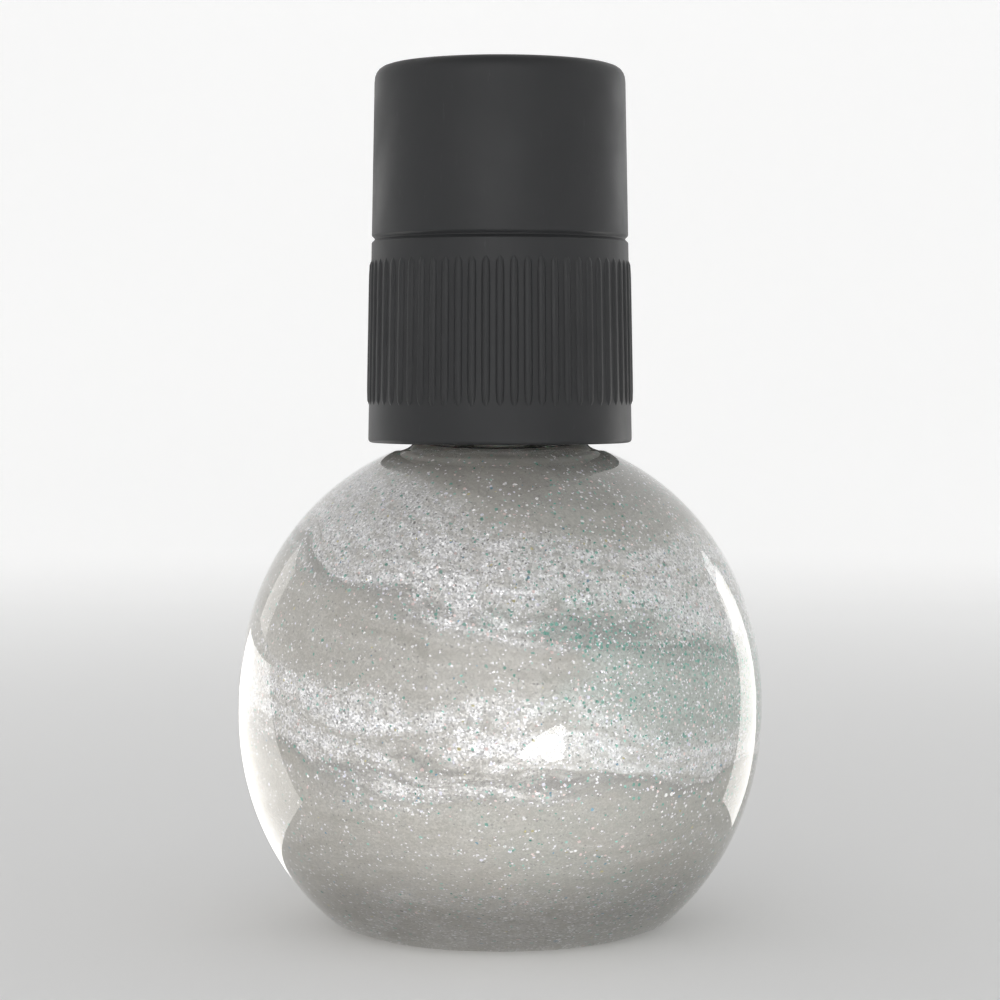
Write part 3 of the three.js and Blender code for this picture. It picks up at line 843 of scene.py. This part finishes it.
def make_overcap(closure, colours):
    low, high = CAP_LOW.z, CAP_HIGH.z
    foot, top = CAP_HIGH.x, closure.top_radius
    wall = closure.wall
    ceiling = high - wall
    groove_z = low + GRIP_FOOT + closure.grip_height + 1.1 * MM

    def side(z):
        return foot + (top - foot) * (z - low) / (high - low)

    groove = 0.24 * MM
    rim = top - 2.0 * MM
    corners = [(0, ceiling, 0), (foot - wall - 0.05 * MM, ceiling, 0.4 * MM), (foot - wall, low, 0.25 * MM),
               (foot, low, 0.3 * MM),
               (side(groove_z - groove), groove_z - groove, 0.06 * MM),
               (side(groove_z) - groove, groove_z, 0.1 * MM),
               (side(groove_z + groove), groove_z + groove, 0.06 * MM),
               (top, high, 1.1 * MM), (rim, high, 0.12 * MM), (rim - 0.2 * MM, high - 0.2 * MM, 0.12 * MM),
               (0, high - 0.2 * MM, 0)]
    mesh = turned("overcap_shell", softened(corners, 6), 160)
    obj = new_object("overcap_shell", mesh, overcap_material(colours))
    settle(obj, "cap", "overcap_plastic", "overcap")


def rib_tree(material):
    """Half-sunk round ribs that stand in a ring and lean with the taper of the wall."""
    tree, graph, given = new_tree("grip ribs", [
        ("Count", "NodeSocketInt", 60), ("Ring radius", "NodeSocketFloat", 0.009),
        ("Rib radius", "NodeSocketFloat", 0.0003), ("Low", "NodeSocketFloat", 0.03),
        ("High", "NodeSocketFloat", 0.04), ("Lean", "NodeSocketFloat", 0.0)])
    ring = graph.add("GeometryNodeMeshCircle", {
        "Vertices": given["Count"], "Radius": given["Ring radius"]}).outputs[0]
    bottom = graph.add("ShaderNodeCombineXYZ", {2: given["Low"]}).outputs[0]
    head = graph.add("ShaderNodeCombineXYZ", {0: given["Lean"], 2: given["High"]}).outputs[0]
    line = graph.add("GeometryNodeCurvePrimitiveLine", {"Start": bottom, "End": head}).outputs[0]
    line = graph.add("GeometryNodeResampleCurve", {"Curve": line, "Count": 17}).outputs[0]
    along = graph.add("GeometryNodeSplineParameter").outputs["Factor"]
    off = graph.maths("ABSOLUTE", graph.maths("MULTIPLY_ADD", along, 2.0, -1.0))
    ends = graph.maths("MULTIPLY", 0.985, graph.maths("POWER", off, 12.0))
    thin = graph.maths("SQRT", graph.maths("SUBTRACT", 1.0, ends))
    line = graph.add("GeometryNodeSetCurveRadius", {"Curve": line, "Radius": thin}).outputs[0]
    section = graph.add("GeometryNodeCurvePrimitiveCircle", {"Resolution": 12, "Radius": given["Rib radius"]})
    girth = graph.add("GeometryNodeInputRadius").outputs[0]
    rib = graph.add("GeometryNodeCurveToMesh", {
        "Curve": line, "Profile Curve": section.outputs[0], "Fill Caps": True, "Scale": girth}).outputs[0]
    place = graph.split(graph.add("GeometryNodeInputPosition").outputs[0])
    about = graph.add("ShaderNodeCombineXYZ", {2: graph.maths("ARCTAN2", place[1], place[0])}).outputs[0]
    ribs = graph.add("GeometryNodeInstanceOnPoints", {
        "Points": ring, "Instance": rib, "Rotation": about}).outputs[0]
    flat = graph.add("GeometryNodeSetShadeSmooth", {"Geometry": ribs, "Shade Smooth": True}).outputs[0]
    close_tree(graph, flat, material)
    return tree


def make_grip(closure, colours):
    low = CAP_LOW.z + GRIP_FOOT
    high = low + closure.grip_height
    taper = (closure.top_radius - CAP_HIGH.x) / (CAP_HIGH.z - CAP_LOW.z)
    sunk = closure.rib_radius - 0.16 * MM
    ring = CAP_HIGH.x + taper * (low - CAP_LOW.z) - sunk
    obj = new_object("grip_ribs", bpy.data.meshes.new("grip_ribs"), None)
    apply_tree(obj, rib_tree(overcap_material(colours)), {
        "Count": closure.grip_ribs, "Ring radius": ring, "Rib radius": closure.rib_radius,
        "Low": low, "High": high, "Lean": taper * (high - low)})
    settle(obj, "cap", "overcap_plastic")


def make_splines(closure, colours):
    low = INNER_LOW.z + 1.2 * MM
    high = STEM_HIGH.z - 5.5 * MM
    obj = new_object("drive_splines", bpy.data.meshes.new("drive_splines"), None)
    apply_tree(obj, rib_tree(moulded_material(colours, "spline plastic")), {
        "Count": closure.splines, "Ring radius": INNER_HIGH.x - 0.2 * MM, "Rib radius": 0.22 * MM,
        "Low": low, "High": high, "Lean": 0.0})
    settle(obj, "cap", "inner_cap_plastic")


def make_stem(brush, colours):
    low, high = STEM_LOW.z, STEM_HIGH.z
    flange_top = high - brush.post_height
    flange_low = flange_top - brush.flange
    bore_top = low + brush.bore_depth
    end, stem, flange = brush.stem_end, brush.stem_radius, STEM_HIGH.x
    corners = [(0, bore_top, 0), (brush.bore_radius, bore_top, 0.2 * MM), (brush.bore_radius, low, 0.12 * MM),
               (end, low, 0.25 * MM), (end, bore_top, 0.6 * MM), (stem, bore_top + 2 * MM, 0.6 * MM),
               (stem, flange_low - 1.3 * MM, 0.4 * MM), (stem + 0.25 * MM, flange_low - 0.9 * MM, 0.2 * MM),
               (stem + 0.25 * MM, flange_low, 0.25 * MM), (flange, flange_low, 0.25 * MM),
               (flange, flange_top, 0.3 * MM), (brush.post_radius, flange_top, 0.2 * MM),
               (brush.post_radius, flange_top + 3.4 * MM, 0.2 * MM),
               (brush.post_radius + 0.2 * MM, flange_top + 3.8 * MM, 0.15 * MM),
               (brush.post_radius + 0.2 * MM, flange_top + 4.2 * MM, 0.15 * MM),
               (brush.post_radius, flange_top + 4.5 * MM, 0.15 * MM),
               (brush.post_radius, high, 0.5 * MM), (0, high, 0)]
    mesh = turned("stem", softened(corners, 5), 96)
    material = moulded_material(colours, "stem plastic", wet_below=FILL_Z - 1.5 * MM)
    settle(new_object("brush_rod", mesh, material), "brush", "stem_plastic", "brush_stem")


def make_staple(colours):
    """A flat steel staple with its lower corners turned in."""
    low, high = (Vector(c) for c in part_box("bristle_anchor"))
    mesh = bpy.data.meshes.new("staple")
    half_x, half_y = high.x, high.y
    gap = 0.22 * MM
    shape = [(-half_x, low.z), (-half_x, high.z), (half_x, high.z), (half_x, low.z), (half_x - gap, low.z),
             (half_x - gap * 1.2, high.z - 3 * gap), (-half_x + gap * 1.2, high.z - 3 * gap),
             (-half_x + gap, low.z)]
    count = len(shape)
    vertices = [(x, y, z) for y in (-half_y, half_y) for x, z in shape]
    sides = [(i, (i + 1) % count, (i + 1) % count + count, i + count) for i in range(count)]
    fronts = [(7, 6, 1, 0), (6, 5, 2, 1), (5, 4, 3, 2)]
    backs = [tuple(v + count for v in reversed(f)) for f in fronts]
    mesh.from_pydata(vertices, [], sides + fronts + backs)
    obj = new_object("staple", mesh, steel_material(colours, "staple steel", brushed=True))
    bevel = obj.modifiers.new("edges", "BEVEL")
    bevel.width = 0.03 * MM
    bevel.segments = 2
    graph = bpy.context.evaluated_depsgraph_get()
    obj.data = bpy.data.meshes.new_from_object(obj.evaluated_get(graph))
    obj.modifiers.clear()
    settle(obj, "brush", "staple_steel", "bristle_anchor")


def bristle_tree(material):
    """A bundle of filaments that belly out below the stem and draw in to a rounded tip."""
    tree, graph, given = new_tree("bristles", [
        ("Filaments", "NodeSocketInt", 300), ("Filament radius", "NodeSocketFloat", 0.00006),
        ("Root radius", "NodeSocketFloat", 0.0011), ("Belly radius", "NodeSocketFloat", 0.0018),
        ("Top", "NodeSocketFloat", 0.026), ("Mouth", "NodeSocketFloat", 0.0215),
        ("Tip", "NodeSocketFloat", 0.0066)])
    points = graph.add("GeometryNodePoints", {"Count": given["Filaments"]}).outputs[0]
    index = graph.add("GeometryNodeInputIndex").outputs[0]
    golden = pi * (3 - sqrt(5))
    turn = graph.maths("MULTIPLY", index, golden)
    share = graph.maths("DIVIDE", graph.maths("ADD", index, 0.5), given["Filaments"])
    spread = graph.maths("SQRT", share)
    chance = graph.add("FunctionNodeRandomValue", {2: 0.0, 3: 1.0, "Seed": 31}, data_type="FLOAT").outputs[1]
    for name, value in (("turn", turn), ("spread", spread), ("strand", chance)):
        points = graph.add("GeometryNodeStoreNamedAttribute", {
            "Geometry": points, "Name": name, "Value": value},
            data_type="FLOAT", domain="POINT").outputs[0]
    line = graph.add("GeometryNodeCurvePrimitiveLine", {"Start": (0, 0, 0), "End": (0, 0, 1)}).outputs[0]
    line = graph.add("GeometryNodeResampleCurve", {"Curve": line, "Count": 13}).outputs[0]
    made = graph.add("GeometryNodeInstanceOnPoints", {"Points": points, "Instance": line}).outputs[0]
    made = graph.add("GeometryNodeRealizeInstances", {0: made}).outputs[0]

    def read(name):
        return graph.add("GeometryNodeInputNamedAttribute", {"Name": name}, data_type="FLOAT").outputs[0]

    turn, spread, strand = read("turn"), read("spread"), read("strand")
    along = graph.add("GeometryNodeSplineParameter").outputs["Factor"]
    # outer filaments end higher, so the tip is round, and each has its own small difference
    short = graph.maths("MULTIPLY", graph.maths("POWER", spread, 2.4), 0.0021)
    short = graph.maths("ADD", short, graph.maths("MULTIPLY", strand, 0.0006))
    end_z = graph.maths("ADD", given["Tip"], short)
    z = graph.between(along, end_z, given["Top"])
    out = graph.remap(z, given["Mouth"], given["Tip"])
    belly = graph.maths("SINE", graph.maths("MULTIPLY", graph.maths("POWER", out, 0.85), pi * 0.80))
    reach = graph.maths("ADD", given["Root radius"], graph.maths(
        "MULTIPLY", belly, graph.maths("SUBTRACT", given["Belly radius"], given["Root radius"])))
    reach = graph.maths("MULTIPLY", reach, graph.remap(out, 0.72, 1.0, 1.0, 0.66, smooth=True))
    stray = graph.maths("MULTIPLY_ADD", strand, graph.maths("MULTIPLY", out, 0.18), 1.0)
    radius = graph.maths("MULTIPLY", graph.maths("MULTIPLY", reach, spread), stray)
    bow = graph.maths("MULTIPLY", graph.maths("SUBTRACT", strand, 0.5), graph.maths("MULTIPLY", out, 0.5))
    turn = graph.maths("ADD", turn, bow)
    where = graph.add("ShaderNodeCombineXYZ", {
        0: graph.maths("MULTIPLY", radius, graph.maths("COSINE", turn)),
        1: graph.maths("MULTIPLY", radius, graph.maths("SINE", turn)), 2: z}).outputs[0]
    made = graph.add("GeometryNodeSetPosition", {"Geometry": made, "Position": where}).outputs[0]
    section = graph.add("GeometryNodeCurvePrimitiveCircle", {
        "Resolution": 6, "Radius": given["Filament radius"]})
    hair = graph.add("GeometryNodeCurveToMesh", {"Curve": made, "Profile Curve": section.outputs[0],
                                                 "Fill Caps": True}).outputs[0]
    soft = graph.add("GeometryNodeSetShadeSmooth", {"Geometry": hair, "Shade Smooth": True}).outputs[0]
    close_tree(graph, soft, material)
    return tree


def make_bristles(brush, colours):
    obj = new_object("bristles", bpy.data.meshes.new("bristles"), None)
    apply_tree(obj, bristle_tree(bristle_material(colours)), {
        "Filaments": brush.filaments, "Filament radius": brush.filament_radius,
        "Root radius": brush.root_radius, "Belly radius": brush.belly_radius,
        "Top": TUFT_HIGH.z, "Mouth": STEM_LOW.z, "Tip": TUFT_LOW.z})
    settle(obj, "brush", "bristle_nylon", "bristle_tuft")


# ---------------------------------------------------------------- stage

BODY_CENTRE = Vector((0, 0, 15.4 * MM))


def add_light(name, place, size, brightness, tint=(1, 1, 1), shape="RECTANGLE", roll=0,
              highlight=True, wash=True):
    """A soft light that faces the body, unseen by the camera.

    brightness is per area, so a larger light is as bright to look at. One without highlight isn't
    mirrored in anything shiny; one without wash lights no matt surface.
    """
    lamp = bpy.data.lights.new(name, "AREA")
    lamp.shape = shape
    lamp.size, lamp.size_y = size
    lamp.energy = brightness * pi * size[0] * size[1]
    lamp.color = tint
    obj = bpy.data.objects.new(name, lamp)
    obj.location = place
    facing = (BODY_CENTRE - obj.location).to_track_quat("-Z", "Y").to_matrix()
    obj.rotation_euler = (facing @ Matrix.Rotation(math.radians(roll), 3, "Z")).to_euler()
    obj.visible_camera = False
    obj.visible_glossy = highlight
    obj.visible_diffuse = wash
    bpy.context.scene.collection.objects.link(obj)
    return obj


def add_card(name, foot, bearing, width, run, rise, brightness, tint=(1, 1, 1),
             highlight=True, wash=False):
    """A bright card that stands on its foot and leans away from the bottle along its bearing."""
    turn = math.radians(bearing)
    out = Vector((-sin(turn), cos(turn), 0))
    slope = (out * run + Vector((0, 0, rise))).normalized()
    side = Vector((cos(turn), sin(turn), 0))
    back = slope.cross(side)
    card = add_light(name, foot + out * run / 2 + Vector((0, 0, rise / 2)), (width, math.hypot(run, rise)),
                     brightness, tint, highlight=highlight, wash=wash)
    card.rotation_euler = Matrix((-side, slope, back)).transposed().to_euler()


def make_stage(colours):
    rim, sweep, wall = 0.42, 0.22, 0.75
    bend = [(rim + sweep * sin(a), sweep * (1 - cos(a))) for a in (pi / 2 * k / 16 for k in range(17))]
    outline = [(0, 0), (0.2, 0)] + bend + [(rim + sweep, wall)]
    mesh = turned("floor_sweep", [(r, z) for r, z in reversed(outline)], 96)
    floor = new_object("floor_sweep", mesh, floor_material(colours))

    world = bpy.data.worlds.new("studio")
    world.use_nodes = True
    world.node_tree.nodes.clear()
    graph = Graph(world.node_tree)
    sky = graph.add("ShaderNodeBackground", {"Color": (0.98, 0.98, 0.97, 1), "Strength": 0.55})
    graph.add("ShaderNodeOutputWorld", {0: sky.outputs[0]})
    bpy.context.scene.world = world

    warm = (1.0, 0.978, 0.94)
    add_card("left card", Vector((-0.0235, 0.0030, 0.0006)), 45, 0.027, 0.027, 0.020, 2.0, warm)
    add_card("right card", Vector((0.0300, 0.0090, 0.0006)), -42, 0.0125, 0.026, 0.036, 2.1, warm)
    add_light("front spark", (0.0165, -0.0600, 0.0070), (0.0200, 0.0055), 6.5, shape="ELLIPSE", roll=25,
              wash=False)
    add_light("front spark, low", (0.0205, -0.0600, 0.0052), (0.0105, 0.0080), 6.5, shape="ELLIPSE",
              roll=8, wash=False)
    add_card("low front card", Vector((0, -0.0125, 0.0006)), 180, 0.26, 0.090, 0.002, 1.5,
             highlight=False, wash=True)
    add_light("left bank", (-0.19, 0.18, 0.078), (0.060, 0.070), 1.0, warm)
    add_light("right bank", (0.19, 0.18, 0.078), (0.040, 0.070), 1.8)
    add_light("front fill", (-0.04, -0.36, 0.14), (0.34, 0.22), 0.95)

    camera = bpy.data.cameras.new("camera")
    camera.lens = 100
    camera.sensor_width = 36
    obj = bpy.data.objects.new("camera", camera)
    middle = (CAD_BOX[0].z + CAD_BOX[1].z) / 2
    elevation = math.radians(2.5)
    distance = 0.19
    target = Vector((0, 0, middle - 0.2 * MM))
    obj.location = target + distance * Vector((0, -cos(elevation), sin(elevation)))
    obj.rotation_euler = (target - obj.location).to_track_quat("-Z", "Y").to_euler()
    camera.clip_start = 0.01
    bpy.context.scene.collection.objects.link(obj)
    bpy.context.scene.camera = obj
    bpy.context.scene.view_settings.view_transform = "Standard"


# ---------------------------------------------------------------- add-on

class BOTTLE_OT_glass(Operator):
    """Makes the blown glass body with its threaded neck."""
    bl_idname = "bottle.glass"
    bl_label = "Glass body"
    bl_options = {"REGISTER", "UNDO"}

    def execute(self, context):
        scene = context.scene
        make_glass(scene.glass_sizes, scene.closure_sizes)
        return {"FINISHED"}


class BOTTLE_OT_polish(Operator):
    """Makes the glitter polish that fills the glass."""
    bl_idname = "bottle.polish"
    bl_label = "Polish"
    bl_options = {"REGISTER", "UNDO"}

    def execute(self, context):
        scene = context.scene
        make_polish(scene.glass_sizes, scene.finishes)
        return {"FINISHED"}


class BOTTLE_OT_flakes(Operator):
    """Scatters the loose glitter flakes that lie at the glass."""
    bl_idname = "bottle.flakes"
    bl_label = "Glitter flakes"
    bl_options = {"REGISTER", "UNDO"}

    def execute(self, context):
        scene = context.scene
        make_flakes(scene.glass_sizes, scene.finishes)
        return {"FINISHED"}


class BOTTLE_OT_balls(Operator):
    """Makes the steel balls that stir the polish."""
    bl_idname = "bottle.balls"
    bl_label = "Mixing balls"
    bl_options = {"REGISTER", "UNDO"}

    def execute(self, context):
        scene = context.scene
        make_balls(scene.finishes)
        return {"FINISHED"}


class BOTTLE_OT_label(Operator):
    """Makes the blank paper label under the base."""
    bl_idname = "bottle.label"
    bl_label = "Base label"
    bl_options = {"REGISTER", "UNDO"}

    def execute(self, context):
        scene = context.scene
        make_label(scene.finishes)
        return {"FINISHED"}


class BOTTLE_OT_liner(Operator):
    """Makes the foam washer on the lip."""
    bl_idname = "bottle.liner"
    bl_label = "Sealing liner"
    bl_options = {"REGISTER", "UNDO"}

    def execute(self, context):
        scene = context.scene
        make_liner(scene.finishes)
        return {"FINISHED"}


class BOTTLE_OT_inner_cap(Operator):
    """Makes the threaded closure that carries the brush."""
    bl_idname = "bottle.inner_cap"
    bl_label = "Inner cap"
    bl_options = {"REGISTER", "UNDO"}

    def execute(self, context):
        scene = context.scene
        make_inner_cap(scene.closure_sizes, scene.brush_sizes, scene.finishes)
        return {"FINISHED"}


class BOTTLE_OT_splines(Operator):
    """Makes the splines that key the inner cap to the overcap."""
    bl_idname = "bottle.splines"
    bl_label = "Drive splines"
    bl_options = {"REGISTER", "UNDO"}

    def execute(self, context):
        scene = context.scene
        make_splines(scene.closure_sizes, scene.finishes)
        return {"FINISHED"}


class BOTTLE_OT_overcap(Operator):
    """Makes the outer cap that the hand turns."""
    bl_idname = "bottle.overcap"
    bl_label = "Overcap"
    bl_options = {"REGISTER", "UNDO"}

    def execute(self, context):
        scene = context.scene
        make_overcap(scene.closure_sizes, scene.finishes)
        return {"FINISHED"}


class BOTTLE_OT_grip(Operator):
    """Makes the ribs round the foot of the overcap."""
    bl_idname = "bottle.grip"
    bl_label = "Grip ribs"
    bl_options = {"REGISTER", "UNDO"}

    def execute(self, context):
        scene = context.scene
        make_grip(scene.closure_sizes, scene.finishes)
        return {"FINISHED"}


class BOTTLE_OT_stem(Operator):
    """Makes the rod that carries the bristles."""
    bl_idname = "bottle.stem"
    bl_label = "Brush stem"
    bl_options = {"REGISTER", "UNDO"}

    def execute(self, context):
        scene = context.scene
        make_stem(scene.brush_sizes, scene.finishes)
        return {"FINISHED"}


class BOTTLE_OT_staple(Operator):
    """Makes the steel staple that holds the bristles."""
    bl_idname = "bottle.staple"
    bl_label = "Staple"
    bl_options = {"REGISTER", "UNDO"}

    def execute(self, context):
        scene = context.scene
        make_staple(scene.finishes)
        return {"FINISHED"}


class BOTTLE_OT_bristles(Operator):
    """Makes the nylon filaments of the brush."""
    bl_idname = "bottle.bristles"
    bl_label = "Bristles"
    bl_options = {"REGISTER", "UNDO"}

    def execute(self, context):
        scene = context.scene
        make_bristles(scene.brush_sizes, scene.finishes)
        return {"FINISHED"}


class BOTTLE_OT_stage(Operator):
    """Sets out the floor, the lights and the camera."""
    bl_idname = "bottle.stage"
    bl_label = "Stage"
    bl_options = {"REGISTER", "UNDO"}

    def execute(self, context):
        scene = context.scene
        make_stage(scene.finishes)
        return {"FINISHED"}


STEPS = [
    BOTTLE_OT_glass, BOTTLE_OT_polish, BOTTLE_OT_flakes, BOTTLE_OT_balls, BOTTLE_OT_label,
    BOTTLE_OT_liner, BOTTLE_OT_inner_cap, BOTTLE_OT_splines, BOTTLE_OT_overcap, BOTTLE_OT_grip,
    BOTTLE_OT_stem, BOTTLE_OT_staple, BOTTLE_OT_bristles, BOTTLE_OT_stage,
]


class BOTTLE_PT_panel(Panel):
    """Lists the bottle's pieces and sizes in the sidebar."""
    bl_label = "Nail polish bottle"
    bl_idname = "BOTTLE_PT_panel"
    bl_space_type = "VIEW_3D"
    bl_region_type = "UI"
    bl_category = "Bottle"

    def draw(self, context):
        for step in STEPS:
            self.layout.operator(step.bl_idname)
        for group in ("glass_sizes", "closure_sizes", "brush_sizes", "finishes"):
            values = getattr(context.scene, group)
            box = self.layout.box()
            for name in values.__annotations__:
                box.prop(values, name)


GROUPS = {"glass_sizes": GlassSizes, "closure_sizes": ClosureSizes, "brush_sizes": BrushSizes,
          "finishes": Finishes}


def register():
    for name, group in GROUPS.items():
        bpy.utils.register_class(group)
        setattr(bpy.types.Scene, name, PointerProperty(type=group))
    for step in STEPS:
        bpy.utils.register_class(step)
    bpy.utils.register_class(BOTTLE_PT_panel)


def unregister():
    bpy.utils.unregister_class(BOTTLE_PT_panel)
    for step in reversed(STEPS):
        bpy.utils.unregister_class(step)
    for name, group in GROUPS.items():
        delattr(bpy.types.Scene, name)
        bpy.utils.unregister_class(group)


def main():
    register()
    for step in STEPS:
        getattr(bpy.ops.bottle, step.bl_idname.split(".")[1])()


if __name__ == "__main__":
    main()
